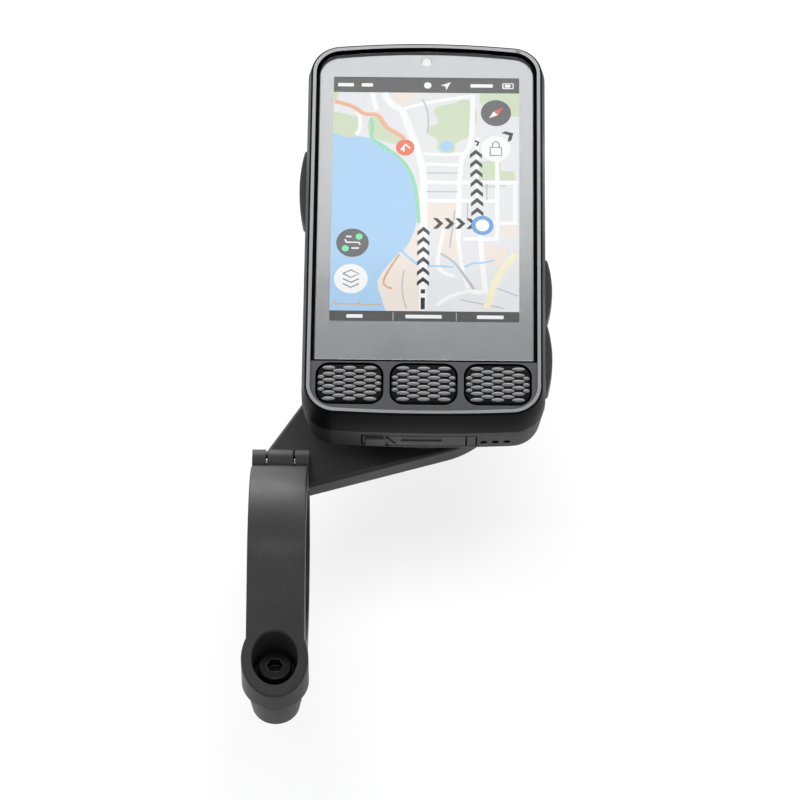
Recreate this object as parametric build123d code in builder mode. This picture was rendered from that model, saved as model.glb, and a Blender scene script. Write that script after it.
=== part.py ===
"""Cycling computer on an out-front handlebar mount.

Millimetres. The origin is the centre of the handlebar clamp's bore, +X points to the rider's right,
+Y forwards along the screen and +Z out of the screen.
"""
from build123d import *
from math import cos, radians, sin, tan
import os

# Handlebar clamp
bar_radius = 15.9
ring_radius = 21.0
band_width = 12.0
clamp_pitch = -10.2
bolt_reach = 28.5
ear_radius = 6.95
ear_slope = 31.0
upper_ear_floor = -1.5
lower_ear_top = -3.0
lower_ear_bottom = -10.5
boss_radius = 5.9
boss_taper = 8.0
boss_rounding = 1.2
ear_root = 0.4
ear_web = (6.0, 2.5, 2.0)
seat_height = 0.6
seat_radius = 4.7
bolt_radius = 2.0
bolt_head_radius = 3.5
bolt_head_height = 4.0
bolt_head_rounding = 0.4
bolt_clearance = 0.25
hex_half = 1.5
hex_depth = 2.2
insert_radius = 3.1
insert_inset = 0.9
insert_length = 5.0
hinge_reach = 20.6
hinge_rise = 8.4
knuckle_radius = 2.9
knuckle_width = 5.6
pin_radius = 1.0
pin_inset = 0.2
arc_front = 24.0
arc_rear = 182.5
front_opening = 4.0
rear_opening = 7.0
running = 0.05
gap = 0.3

# Arm and quarter-turn socket
turn_x = 30.0
turn_y = 43.5
pad_radius = 18.4
arm_bottom = -2.0
arm_top = 3.0
arm_rounding = 0.8
arm_root_place = bar_radius + 3.2
arm_root_length = 4.0
socket_rounding = 0.8
socket_top = 8.4
socket_radius = 17.4
socket_floor = 4.7
cavity_radius = 14.6
flange_floor = 7.1
flange_radius = 11.0
flange_angle = 80.0
tab_radius = 14.2
tab_angle = 68.0
tab_bottom = 5.1
tab_top = 6.8
hub_radius = 10.6
screw_circle = 6.5
socket_screw_radius = 1.25
socket_screw_inset = 0.4
spring_circle = 15.4
spring_length = 7.0
spring_width = 0.9
plate_radius = 13.0
plate_depth = 0.95
plate_screw_circle = 7.5
plate_screw_radius = 1.05
plate_screw_end = 11.3
pad_margin = 1.2
pad_top = 11.8

# Case
rim_width = 49.6
rim_length = 90.5
flare = 0.7
waist_width = rim_width + 2 * flare
corner = 7.2
sag_low = 0.9
sag_high = 1.6
wall = 1.6
case_x = turn_x
case_y = 22.5
back = 9.0
parting = 19.0
waist_top = 22.6
front = 26.0
back_inset = 1.2
back_rounding = 2.4
floor_overlap = 0.4
floor_top = back + wall

# Front
rim_thickness = 1.1
rim_step = 0.3
rim_rounding = 0.45
deck = front - rim_step
glass_side_gap = 0.6
glass_bottom = 12.9
glass_width = rim_width - 2 * (rim_thickness + glass_side_gap)
glass_chamfer = 0.2
film_rise = 0.3
film_thickness = 0.15
glass_rise = film_rise + film_thickness
gasket_opening = (-21.3, 21.3, 19.0, 84.2)
ledge = 24.2
ledge_bottom = 22.4
display_width = 39.9
display_bottom = 22.6
display_top = 82.5
panel_bottom = 19.6
panel_top = 83.4
panel_width = 41.2
tray_floor = 21.6
tray_top = 22.7
tray_corner = 0.8
sensor_along = 86.4
sensor_radius = 1.0
sensor_window = 1.1
sensor_hole = 1.3
sensor_foot = 22.8

# Front buttons
button_pitch = 15.45
button_along = 7.45
button_length = 13.5
button_height = 9.1
button_corner = 2.6
button_gap = 0.35
button_proud = 0.2
button_plate = 1.8
button_travel = 0.5
button_flange = 0.7
button_rounding = 0.5
button_post = 1.5
button_bay = (-22.9, 22.9, 1.9)
seal_radii = (2.4, 2.0)
seal_height = 1.0
switch_radius = 1.9
switch_height = 0.9
board_thickness = 0.8
board_span = (-17.0, 17.0, 3.6, 11.6)
rib_half = 0.5
button_board_top = 20.2
post_foot = button_board_top + switch_height + button_travel + gap

# Side buttons
side_low = 14.4
side_high = 17.8
side_bulge = 1.6
side_end = 0.6
power_span = (49.9, 68.0)
down_span = (10.1, 25.9)
up_span = (27.1, 41.7)
flange_rise = 0.6
flange_outer = 2.6
flange_inner = 3.3
nose_tip = 3.7
nose_half = 1.0
switch_depths = (4.5, 6.5)
switch_half = 1.8
window_reach = (4.0, 2.0)

# Charging port
door_span = (-12.7, 8.9)
door_low = 11.6
door_high = 17.0
door_depth = 1.5
port_z = 14.2
hole_places = (12.7, 15.15, 17.6)
hole_z = 13.5
hole_radius = 0.8
anchor_end = 11.0
port_wall = 3.4
port_margin = 1.8
port_width = 8.94
port_height = 3.26
door_corner = 1.2
tab_groove = (4.9, 5.4, 0.5)
socket_depth = 7.3
socket_skin = 0.3
socket_place = 2.0
tongue = (-3.3, 3.3, 3.0, 8.5, 0.35)

# Seal groove in the rear shell's edge
seal_floor = 18.3
seal_inset = 0.45
seal_groove = 0.7

# Board and cells
board_bottom = 15.9
board_top = 16.9
screw_x = 20.4
screw_low = 5.4
screw_high = 84.4
pillar_radius = 2.4
bezel_pillar_radius = 2.9
bezel_pillar_top = 21.3
case_screw_radius = 0.8
case_head_radius = 1.6
case_head_depth = 1.6
case_head_inset = 0.6
case_head_clearance = 0.15
board_inset = 4.6
board_hole = 2.8


def level(z):
    """Horizontal plane at height z, with its origin at the middle of the case's lower edge."""
    return Plane(origin=(case_x, case_y, z))


def turn_level(z):
    """Horizontal plane at height z, centred on the quarter-turn axis."""
    return Plane(origin=(turn_x, turn_y, z))


def outline(z, inset):
    """The case's outline at height z, moved in from its waist by inset."""
    half = waist_width / 2 - inset
    low = inset - flare
    high = rim_length + flare - inset
    with BuildSketch(level(z)) as shape:
        with BuildLine():
            ThreePointArc((-half, low + sag_low), (0, low), (half, low + sag_low))
            Line((half, low + sag_low), (half, high - sag_high))
            ThreePointArc((half, high - sag_high), (0, high), (-half, high - sag_high))
            Line((-half, high - sag_high), (-half, low + sag_low))
        make_face()
        fillet(shape.vertices(), radius=corner - inset)
    return shape.sketch


def glass_outline(z, inset):
    """The cover glass's outline: the rim's curve above, cut off square above the buttons."""
    side = waist_width / 2 - glass_width / 2
    with BuildSketch(level(z)) as shape:
        add(level(z).to_local_coords(outline(z, side + inset)))
        with Locations((0, glass_bottom + inset)):
            Rectangle(waist_width, rim_length, align=(Align.CENTER, Align.MIN), mode=Mode.INTERSECT)
    return shape.sketch


def opposite_sectors(z, inner, outer, angle):
    """Two sectors of a ring, right and left of the quarter-turn axis."""
    rise = 2 * outer * tan(radians(angle / 2))
    with BuildSketch(turn_level(z)) as shape:
        with PolarLocations(0, 2):
            Polygon((0, 0), (2 * outer, -rise), (2 * outer, rise), align=None)
        Circle(outer, mode=Mode.INTERSECT)
        Circle(inner, mode=Mode.SUBTRACT)
    return shape.sketch


def save(piece, name):
    """Name the finished piece and write it."""
    piece.part.label = name
    export_step(piece.part, f"parts/{name}.step")


os.makedirs("parts", exist_ok=True)

# ---------------------------------------------------------------- clamp
turn = radians(clamp_pitch)
clamp_forward = Vector(0, cos(turn), sin(turn))
clamp_up = Vector(0, -sin(turn), cos(turn))
clamp_side = Plane(origin=(0, 0, 0), x_dir=clamp_forward, z_dir=(1, 0, 0))


def bolt_level(height):
    """Plane square to the clamp bolt, centred on it, at a height above the bar's centre."""
    centre = clamp_up * height - clamp_forward * bolt_reach
    return Plane(origin=centre, x_dir=(1, 0, 0), z_dir=clamp_up)


def ring_sector(first, last):
    """Side view of the band between two angles, measured from straight ahead over the top."""
    inner = [PolarLine((0, 0), bar_radius, angle, mode=Mode.PRIVATE) @ 1 for angle in (first, last)]
    outer = [PolarLine((0, 0), ring_radius, angle, mode=Mode.PRIVATE) @ 1 for angle in (first, last)]
    with BuildSketch(clamp_side) as shape:
        with BuildLine():
            Line(inner[0], outer[0])
            CenterArc((0, 0), ring_radius, first, last - first)
            Line(outer[1], inner[1])
            CenterArc((0, 0), bar_radius, first, last - first)
        make_face()
    return shape.sketch


def upper_ear_profile(reach):
    """Side view of the strap's ear: a straight slope that leaves the ring at a tangent."""
    slope = radians(ear_slope)
    tangent = (-ring_radius * sin(slope), ring_radius * cos(slope))
    end_height = (ring_radius - reach * sin(slope)) / cos(slope)
    with BuildSketch(clamp_side) as shape:
        with BuildLine():
            Polyline(
                tangent,
                (-reach, end_height),
                (-reach, upper_ear_floor),
                (-bar_radius + ear_root, upper_ear_floor),
                tangent,
            )
        make_face()
        Circle(bar_radius, mode=Mode.SUBTRACT)
    return shape.sketch


def knuckle(width, offset):
    """Disc of the hinge at the front of the clamp."""
    plane = clamp_side.offset(offset)
    with BuildSketch(plane) as shape:
        with Locations((hinge_reach, hinge_rise)):
            Circle(knuckle_radius)
    return extrude(shape.sketch, amount=width, mode=Mode.PRIVATE)


def hinge_drum(radius, width):
    """Cylinder about the hinge line, the same distance each side of the middle."""
    with BuildSketch(clamp_side) as shape:
        with Locations((hinge_reach, hinge_rise)):
            Circle(radius)
    return extrude(shape.sketch, amount=width / 2, both=True, mode=Mode.PRIVATE)


cheek_width = (band_width - knuckle_width) / 2 - gap
cheek_offsets = (-band_width / 2, band_width / 2 - cheek_width)
with BuildPart() as ear_boss:
    with BuildSketch(bolt_level(upper_ear_floor)):
        Circle(ear_radius)
    extrude(amount=ring_radius)
    extrude(upper_ear_profile(bolt_reach + ear_radius), amount=ear_radius, both=True, mode=Mode.INTERSECT)

with BuildPart() as clamp_strap:
    extrude(ring_sector(arc_front, arc_rear), amount=band_width / 2, both=True)
    extrude(upper_ear_profile(bolt_reach), amount=band_width / 2, both=True)
    add(ear_boss.part)
    for offset in cheek_offsets:
        with BuildSketch(clamp_side.offset(offset - gap)):
            with Locations((hinge_reach, hinge_rise)):
                Circle(knuckle_radius + gap)
        extrude(amount=cheek_width + 2 * gap, mode=Mode.SUBTRACT)
    add(knuckle(knuckle_width, -knuckle_width / 2))
    add(hinge_drum(pin_radius + running, 2 * band_width), mode=Mode.SUBTRACT)
    with BuildSketch(bolt_level(seat_height)):
        Circle(seat_radius)
    extrude(amount=ring_radius, mode=Mode.SUBTRACT)
    with BuildSketch(bolt_level(upper_ear_floor - 1)):
        Circle(bolt_radius + bolt_clearance)
    extrude(amount=ring_radius, mode=Mode.SUBTRACT)
save(clamp_strap, "clamp_strap")

with BuildPart() as arm_plate:
    with BuildSketch(Plane.XY.offset(arm_bottom)):
        with Locations((turn_x, turn_y)):
            Circle(pad_radius)
        with Locations((0, arm_root_place)):
            Rectangle(band_width, arm_root_length)
        make_hull()
    extrude(amount=arm_top - arm_bottom)
    fillet(arm_plate.faces().filter_by(Axis.Z).edges(), radius=arm_rounding)

with BuildPart() as lower_boss:
    with BuildSketch(bolt_level(lower_ear_top)):
        Circle(boss_radius)
    extrude(amount=lower_ear_bottom - lower_ear_top, taper=boss_taper)
    fillet(lower_boss.edges().sort_by(Axis.Z)[0], radius=boss_rounding)

with BuildPart() as mount_arm:
    extrude(ring_sector(arc_rear + rear_opening, 360 + arc_front - front_opening), amount=band_width / 2,
            both=True)
    add(arm_plate.part)
    with BuildSketch(clamp_side):
        with BuildLine():
            Polyline(
                (-bolt_reach, lower_ear_top),
                (-bolt_reach, lower_ear_bottom + ear_web[2]),
                (-ring_radius + ear_web[0], lower_ear_bottom - ear_web[1]),
                (-ring_radius + ear_web[0], lower_ear_top),
                close=True,
            )
        make_face()
        Circle(bar_radius, mode=Mode.SUBTRACT)
    extrude(amount=boss_radius - 2 * gap, both=True)
    add(lower_boss.part)
    for offset in cheek_offsets:
        add(knuckle(cheek_width, offset))
    add(hinge_drum(knuckle_radius + gap, knuckle_width + 2 * gap), mode=Mode.SUBTRACT)
    add(hinge_drum(pin_radius + running, 2 * band_width), mode=Mode.SUBTRACT)
    with BuildSketch(clamp_side):
        Circle(bar_radius)
    extrude(amount=band_width, both=True, mode=Mode.SUBTRACT)
    with BuildSketch(bolt_level(lower_ear_bottom - 1)):
        Circle(bolt_radius + bolt_clearance)
    extrude(amount=lower_ear_top - lower_ear_bottom + 2, mode=Mode.SUBTRACT)
    with BuildSketch(bolt_level(lower_ear_bottom + insert_inset)):
        Circle(insert_radius)
    extrude(amount=insert_length, mode=Mode.SUBTRACT)
    with BuildSketch(turn_level(arm_bottom)):
        with PolarLocations(screw_circle, 3, start_angle=90):
            Circle(socket_screw_radius + running)
    extrude(amount=arm_top - arm_bottom, mode=Mode.SUBTRACT)
save(mount_arm, "mount_arm")

with BuildPart() as hinge_pin:
    add(hinge_drum(pin_radius, band_width - 2 * pin_inset))
    chamfer(hinge_pin.edges().filter_by(GeomType.CIRCLE), length=pin_inset)
save(hinge_pin, "hinge_pin")

with BuildPart() as clamp_bolt:
    with BuildSketch(bolt_level(seat_height)):
        Circle(bolt_head_radius)
    extrude(amount=bolt_head_height)
    fillet(clamp_bolt.edges().sort_by(Axis.Z)[-1], radius=bolt_head_rounding)
    with BuildSketch(bolt_level(lower_ear_bottom + insert_inset / 2)):
        Circle(bolt_radius)
    extrude(amount=seat_height - lower_ear_bottom)
    with BuildSketch(bolt_level(seat_height + bolt_head_height - hex_depth)):
        RegularPolygon(radius=hex_half, side_count=6, major_radius=False)
    extrude(amount=hex_depth, mode=Mode.SUBTRACT)
save(clamp_bolt, "clamp_bolt")

with BuildPart() as clamp_nut:
    with BuildSketch(bolt_level(lower_ear_bottom + insert_inset + running)):
        Circle(insert_radius - running)
        Circle(bolt_radius + running, mode=Mode.SUBTRACT)
    extrude(amount=insert_length - 2 * running)
save(clamp_nut, "clamp_nut")

# ---------------------------------------------------------------- quarter turn
with BuildPart() as lock_socket:
    with BuildSketch(turn_level(arm_top)):
        Circle(socket_radius)
    extrude(amount=socket_top - arm_top)
    fillet(lock_socket.faces().sort_by(Axis.Z)[-1].edges(), radius=socket_rounding)
    with BuildSketch(turn_level(socket_floor)):
        Circle(cavity_radius)
    extrude(amount=flange_floor - socket_floor, mode=Mode.SUBTRACT)
    with BuildSketch(turn_level(flange_floor)):
        Circle(cavity_radius)
    extrude(amount=socket_top - flange_floor, mode=Mode.SUBTRACT)
    extrude(opposite_sectors(flange_floor, flange_radius, cavity_radius + running, flange_angle),
            amount=socket_top - flange_floor)
    with BuildSketch(turn_level(arm_top)):
        with PolarLocations(screw_circle, 3, start_angle=90):
            Circle(socket_screw_radius + running)
    extrude(amount=socket_floor - arm_top, mode=Mode.SUBTRACT)
    with BuildSketch(turn_level(socket_floor)):
        with PolarLocations(spring_circle, 2, start_angle=90):
            Rectangle(spring_width + 2 * gap, spring_length + 2 * gap)
    extrude(amount=flange_floor - socket_floor, mode=Mode.SUBTRACT)
save(lock_socket, "lock_socket")

with BuildPart() as socket_screws:
    for place in PolarLocations(screw_circle, 3, start_angle=90).local_locations:
        spot = turn_level(socket_floor) * place
        with BuildSketch(spot):
            Circle(socket_screw_radius)
        extrude(amount=arm_bottom + socket_screw_inset - socket_floor)
save(socket_screws, "socket_screws")

with BuildPart() as detent_springs:
    with BuildSketch(turn_level(socket_floor + running)):
        with PolarLocations(spring_circle, 2, start_angle=90):
            SlotOverall(spring_length, spring_width, rotation=90)
    extrude(amount=flange_floor - socket_floor - 2 * running)
save(detent_springs, "detent_springs")

with BuildPart() as lock_plate:
    with BuildSketch(turn_level(tab_bottom)):
        Circle(hub_radius)
    extrude(amount=back - tab_bottom)
    extrude(opposite_sectors(tab_bottom, hub_radius - 1, tab_radius, tab_angle), amount=tab_top - tab_bottom)
    with BuildSketch(turn_level(back - running)):
        Circle(plate_radius)
    extrude(amount=plate_depth)
    with BuildSketch(turn_level(tab_bottom)):
        with PolarLocations(plate_screw_circle, 4, start_angle=45):
            Circle(plate_screw_radius + running)
    extrude(amount=back - tab_bottom + plate_depth, mode=Mode.SUBTRACT)
save(lock_plate, "lock_plate")

with BuildPart() as lock_plate_screws:
    for place in PolarLocations(plate_screw_circle, 4, start_angle=45).local_locations:
        spot = turn_level(tab_bottom + 2 * running) * place
        with BuildSketch(spot):
            Circle(plate_screw_radius)
        extrude(amount=plate_screw_end - tab_bottom)
save(lock_plate_screws, "lock_plate_screws")

# ---------------------------------------------------------------- rear shell


def span_box(first, last, low, high, bottom, top):
    """Block between two places across, along and up the case."""
    with BuildSketch(level(bottom)) as shape:
        with Locations(((first + last) / 2, (low + high) / 2)):
            Rectangle(last - first, high - low)
    return extrude(shape.sketch, amount=top - bottom, mode=Mode.PRIVATE)


with BuildPart() as rear_block:
    loft(sections=[outline(back, back_inset), outline(parting, 0)])
    fillet(rear_block.faces().sort_by(Axis.Z)[0].edges(), radius=back_rounding)

screw_places = [(side * screw_x, along) for side in (-1, 1) for along in (screw_low, screw_high)]

with BuildPart() as rear_shell:
    add(rear_block.part)
    hollow_inset = wall + back_inset * (parting - floor_top) / (parting - back)
    loft(sections=[outline(floor_top, hollow_inset), outline(parting, wall)], mode=Mode.SUBTRACT)
    with BuildSketch(level(floor_top - floor_overlap)):
        with Locations(*screw_places):
            Circle(pillar_radius)
    extrude(amount=parting - running - floor_top + floor_overlap)
    with BuildSketch(turn_level(floor_top - floor_overlap)):
        Circle(plate_radius + pad_margin)
    extrude(amount=pad_top - floor_top + floor_overlap)
    add(span_box(door_span[0] - port_margin, anchor_end + pad_margin, sag_low, port_wall,
                 floor_top - floor_overlap, door_high + pad_margin))
    add(rear_block.part, mode=Mode.INTERSECT)
    with BuildSketch(turn_level(back)):
        Circle(plate_radius + 2 * running)
    extrude(amount=plate_depth, mode=Mode.SUBTRACT)
    with BuildSketch(turn_level(back)):
        with PolarLocations(plate_screw_circle, 4, start_angle=45):
            Circle(plate_screw_radius + running)
    extrude(amount=pad_top - back, mode=Mode.SUBTRACT)
    with BuildSketch(level(back)):
        with Locations(*screw_places):
            Circle(case_head_radius + case_head_clearance)
    extrude(amount=case_head_depth, mode=Mode.SUBTRACT)
    with BuildSketch(level(back)):
        with Locations(*screw_places):
            Circle(case_screw_radius + running)
    extrude(amount=parting - back, mode=Mode.SUBTRACT)
    extrude(outline(seal_floor, seal_inset), amount=parting - seal_floor, mode=Mode.SUBTRACT)
    extrude(outline(seal_floor, seal_inset + seal_groove), amount=parting - seal_floor)
    extrude(outline(seal_floor, wall), amount=parting - seal_floor, mode=Mode.SUBTRACT)
    # pocket for the port door and its anchor, and the mouth of the port
    add(span_box(door_span[0] - gap, anchor_end + gap, -3, door_depth + gap, door_low - gap, door_high + gap),
        mode=Mode.SUBTRACT)
    with BuildSketch(Plane(origin=(case_x, case_y, port_z), x_dir=(1, 0, 0), z_dir=(0, 1, 0))):
        RectangleRounded(port_width + 2 * gap, port_height + 2 * gap, radius=(port_height + gap) / 2)
    extrude(amount=port_wall + pad_margin, mode=Mode.SUBTRACT)
    # sound holes
    with BuildSketch(Plane(origin=(case_x, case_y - 3, hole_z), x_dir=(1, 0, 0), z_dir=(0, 1, 0))):
        for place in hole_places:
            with Locations((place, 0)):
                Circle(hole_radius)
    extrude(amount=8, mode=Mode.SUBTRACT)
    # windows for the side buttons
    for side, span in ((-1, power_span), (1, down_span), (1, up_span)):
        inner, outer = sorted((side * (waist_width / 2 - window_reach[0]),
                               side * (waist_width / 2 + window_reach[1])))
        add(span_box(inner, outer, span[0] - gap, span[1] + gap, side_low - gap, side_high + gap),
            mode=Mode.SUBTRACT)
save(rear_shell, "rear_shell")

with BuildPart() as port_door:
    add(span_box(*door_span, -2, door_depth, door_low, door_high))
    fillet(port_door.edges().filter_by(Axis.Y).sort_by(Axis.X)[:2], radius=door_corner)
    add(rear_block.part, mode=Mode.INTERSECT)
    add(span_box(door_span[0] + tab_groove[0], door_span[0] + tab_groove[1], -2, tab_groove[2],
                 door_low - 1, door_high + 1), mode=Mode.SUBTRACT)
save(port_door, "port_door")

with BuildPart() as door_anchor:
    add(span_box(door_span[1] + gap, anchor_end, -2, door_depth, door_low, door_high))
    add(rear_block.part, mode=Mode.INTERSECT)
save(door_anchor, "door_anchor")

# ---------------------------------------------------------------- front housing
with BuildPart() as front_bezel:
    extrude(outline(parting, 0), amount=waist_top - parting)
    loft(sections=[outline(waist_top, 0), outline(front, flare)], ruled=True)
    fillet(front_bezel.faces().sort_by(Axis.Z)[-1].edges(), radius=rim_rounding)
    rim_inset = flare + rim_thickness
    extrude(outline(parting, wall), amount=ledge_bottom - parting, mode=Mode.SUBTRACT)
    extrude(outline(deck, rim_inset), amount=front - deck, mode=Mode.SUBTRACT)
    with BuildSketch(level(ledge)):
        add(level(ledge).to_local_coords(outline(ledge, rim_inset)))
        with Locations((0, glass_bottom - 0.2)):
            Rectangle(waist_width, rim_length, align=(Align.CENTER, Align.MIN), mode=Mode.INTERSECT)
    extrude(amount=front - ledge, mode=Mode.SUBTRACT)
    add(span_box(-panel_width / 2 - gap, panel_width / 2 + gap, panel_bottom - gap, panel_top + gap,
                 ledge_bottom, ledge), mode=Mode.SUBTRACT)
    add(span_box(*button_bay, glass_bottom - 0.1, ledge_bottom, deck - button_plate), mode=Mode.SUBTRACT)
    with BuildSketch(level(ledge_bottom)):
        with Locations((0, sensor_along)):
            Circle(sensor_hole)
    extrude(amount=ledge - ledge_bottom, mode=Mode.SUBTRACT)
    with BuildSketch(level(deck - button_plate)):
        with Locations((0, button_along)):
            with GridLocations(button_pitch, 0, 3, 1):
                RectangleRounded(button_length + 2 * button_gap, button_height + 2 * button_gap,
                                 radius=button_corner + button_gap)
    extrude(amount=front - deck + button_plate, mode=Mode.SUBTRACT)
    with BuildSketch(level(parting + running)):
        with Locations(*screw_places):
            Circle(bezel_pillar_radius)
    extrude(amount=bezel_pillar_top - parting - running)
    for across, along in screw_places:
        near, far = sorted((across, across / screw_x * (waist_width / 2 - wall + 0.4)))
        add(span_box(near, far, along - 1, along + 1, parting + running, bezel_pillar_top))
    for place in (-button_pitch / 2, button_pitch / 2):
        add(span_box(place - rib_half, place + rib_half, wall, glass_bottom - gap,
                     button_board_top, deck - 1))
    with BuildSketch(level(parting)):
        with Locations(*screw_places):
            Circle(case_screw_radius + running)
    extrude(amount=bezel_pillar_top - parting + 1, mode=Mode.SUBTRACT)
save(front_bezel, "front_bezel")

with BuildPart() as cover_glass:
    extrude(glass_outline(ledge + glass_rise, 0), amount=deck - ledge - glass_rise)
    chamfer(cover_glass.faces().sort_by(Axis.Z)[-1].edges(), length=glass_chamfer)
save(cover_glass, "cover_glass")

with BuildPart() as border_film:
    extrude(glass_outline(ledge + film_rise, gap), amount=film_thickness)
    display_middle = (display_bottom + display_top) / 2
    with BuildSketch(level(ledge + film_rise)):
        with Locations((0, display_middle)):
            Rectangle(display_width, display_top - display_bottom)
        with Locations((0, sensor_along)):
            Circle(sensor_window)
    extrude(amount=film_thickness, mode=Mode.SUBTRACT)
save(border_film, "border_film")

with BuildPart() as glass_gasket:
    extrude(glass_outline(ledge, gap), amount=film_rise)
    add(span_box(*gasket_opening, ledge - 1, ledge + 1), mode=Mode.SUBTRACT)
    with BuildSketch(level(ledge)):
        with Locations((0, sensor_along)):
            Circle(sensor_hole)
    extrude(amount=film_rise, mode=Mode.SUBTRACT)
save(glass_gasket, "glass_gasket")

with BuildPart() as display_panel:
    add(span_box(-panel_width / 2, panel_width / 2, panel_bottom, panel_top, tray_top, ledge + 0.2))
save(display_panel, "display_panel")

with BuildPart() as display_tray:
    add(span_box(-panel_width / 2, panel_width / 2, panel_bottom, panel_top, tray_floor, tray_top))
    fillet(display_tray.edges().filter_by(Axis.Z), radius=tray_corner)
save(display_tray, "display_tray")

with BuildPart() as light_sensor:
    with BuildSketch(level(sensor_foot)):
        with Locations((0, sensor_along)):
            Circle(sensor_radius)
    extrude(amount=ledge + glass_rise - running - sensor_foot)
save(light_sensor, "light_sensor")

# ---------------------------------------------------------------- front buttons


def front_button(place, name):
    """Rubber button: a rounded pad with a flange below the panel and a post to its switch."""
    with BuildPart() as button:
        pad_floor = deck - button_plate - gap
        with BuildSketch(level(pad_floor - button_flange)):
            with Locations((place, button_along)):
                Rectangle(button_length, button_height + 0.8)
        extrude(amount=button_flange)
        with BuildSketch(level(pad_floor)):
            with Locations((place, button_along)):
                RectangleRounded(button_length, button_height, radius=button_corner)
        extrude(amount=deck + button_proud - pad_floor)
        fillet(button.faces().sort_by(Axis.Z)[-1].edges(), radius=button_rounding)
        with BuildSketch(level(post_foot)):
            with Locations((place, button_along)):
                Circle(button_post)
        extrude(amount=pad_floor - button_flange - post_foot)
    save(button, name)


front_button(-button_pitch, "left_button")
front_button(0, "middle_button")
front_button(button_pitch, "right_button")

with BuildPart() as front_button_seals:
    with BuildSketch(level(button_board_top + running)):
        with Locations((0, button_along)):
            with GridLocations(button_pitch, 0, 3, 1):
                Circle(seal_radii[0])
                Circle(seal_radii[1], mode=Mode.SUBTRACT)
    extrude(amount=seal_height)
save(front_button_seals, "front_button_seals")

with BuildPart() as front_switches:
    with BuildSketch(level(button_board_top)):
        with Locations((0, button_along)):
            with GridLocations(button_pitch, 0, 3, 1):
                Circle(switch_radius)
    extrude(amount=switch_height)
save(front_switches, "front_switches")

with BuildPart() as button_board:
    add(span_box(*board_span, button_board_top - board_thickness, button_board_top))
save(button_board, "button_board")

# ---------------------------------------------------------------- side buttons


def side_button(side, span, name):
    """Bowed button in a side wall, with a flange and a small nose inside."""
    low, high = span
    middle = (low + high) / 2
    skin = waist_width / 2
    root = side * (skin - flange_outer)
    end = side * (skin + side_end)
    with BuildPart() as button:
        with BuildSketch(level(side_low)):
            with BuildLine():
                Line((root, low), (end, low))
                ThreePointArc((end, low), (side * (skin + side_bulge), middle), (end, high))
                Line((end, high), (root, high))
                Line((root, high), (root, low))
            make_face()
        extrude(amount=side_high - side_low)
        outer_edges = button.faces().filter_by(GeomType.CYLINDER).edges()
        fillet(outer_edges, radius=button_rounding)
        inner, outer = sorted((side * (skin - flange_inner), root))
        add(span_box(inner, outer, low, high, side_low - flange_rise, side_high + flange_rise))
        inner, outer = sorted((side * (skin - nose_tip), side * (skin - flange_inner)))
        add(span_box(inner, outer, middle - nose_half, middle + nose_half, board_top + 0.1, side_high))
    save(button, name)


side_button(-1, power_span, "power_button")
side_button(1, down_span, "down_button")
side_button(1, up_span, "up_button")

with BuildPart() as side_switches:
    for side, span in ((-1, power_span), (1, down_span), (1, up_span)):
        middle = (span[0] + span[1]) / 2
        near, far = sorted(side * (waist_width / 2 - depth) for depth in switch_depths)
        add(span_box(near, far, middle - switch_half, middle + switch_half, board_top, side_high))
save(side_switches, "side_switches")

# ---------------------------------------------------------------- inside
with BuildPart() as case_seal:
    ring_height = parting - seal_floor - running
    extrude(outline(seal_floor, seal_inset + running), amount=ring_height)
    extrude(outline(seal_floor, seal_inset + seal_groove - running), amount=ring_height, mode=Mode.SUBTRACT)
save(case_seal, "case_seal")

with BuildPart() as main_board:
    extrude(outline(board_bottom, board_inset), amount=board_top - board_bottom)
    with BuildSketch(level(board_bottom)):
        with Locations(*screw_places):
            Circle(board_hole)
    extrude(amount=board_top - board_bottom, mode=Mode.SUBTRACT)
save(main_board, "main_board")

with BuildPart() as processor_can:
    add(span_box(-9, 9, 46, 64, board_top, board_top + 1.8))
    fillet(processor_can.edges().filter_by(Axis.Z), radius=0.6)
save(processor_can, "processor_can")

with BuildPart() as antenna_patch:
    add(span_box(-6, 6, 71, 83, board_top, board_top + 4.0))
save(antenna_patch, "antenna_patch")

with BuildPart() as battery:
    add(span_box(-18.5, 18.5, 35.5, 82, floor_top + 0.3, board_bottom - 0.3))
    fillet(battery.edges().filter_by(Axis.Y), radius=1.6)
save(battery, "battery")

with BuildPart() as battery_pad:
    add(span_box(-15, 15, 40, 78, floor_top, floor_top + 0.3))
save(battery_pad, "battery_pad")

port_mouth = Plane(origin=(case_x, case_y + socket_place, port_z), x_dir=(1, 0, 0), z_dir=(0, 1, 0))

with BuildPart() as charging_socket:
    with BuildSketch(port_mouth):
        RectangleRounded(port_width, port_height, radius=port_height / 2 - 0.01)
    extrude(amount=socket_depth)
    with BuildSketch(port_mouth):
        RectangleRounded(port_width - 2 * socket_skin, port_height - 2 * socket_skin,
                         radius=port_height / 2 - socket_skin - 0.01)
    extrude(amount=socket_depth - 1, mode=Mode.SUBTRACT)
    add(span_box(*tongue[:4], port_z - tongue[4], port_z + tongue[4]))
save(charging_socket, "charging_socket")

with BuildPart() as sounder:
    add(span_box(11.4, 17.4, 4.4, 9.0, 12.0, board_bottom))
    fillet(sounder.edges().filter_by(Axis.Z), radius=0.8)
save(sounder, "sounder")

with BuildPart() as vent_membrane:
    add(span_box(12.2, 18.2, 3.5, 3.8, hole_z - 1.4, hole_z + 1.4))
save(vent_membrane, "vent_membrane")

with BuildPart() as case_screws:
    with BuildSketch(level(back + case_head_inset)):
        with Locations(*screw_places):
            Circle(case_head_radius)
    extrude(amount=case_head_depth - case_head_inset)
    with BuildSketch(level(back + case_head_depth)):
        with Locations(*screw_places):
            Circle(case_screw_radius)
    extrude(amount=parting + 2 - back - case_head_depth)
save(case_screws, "case_screws")

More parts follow.
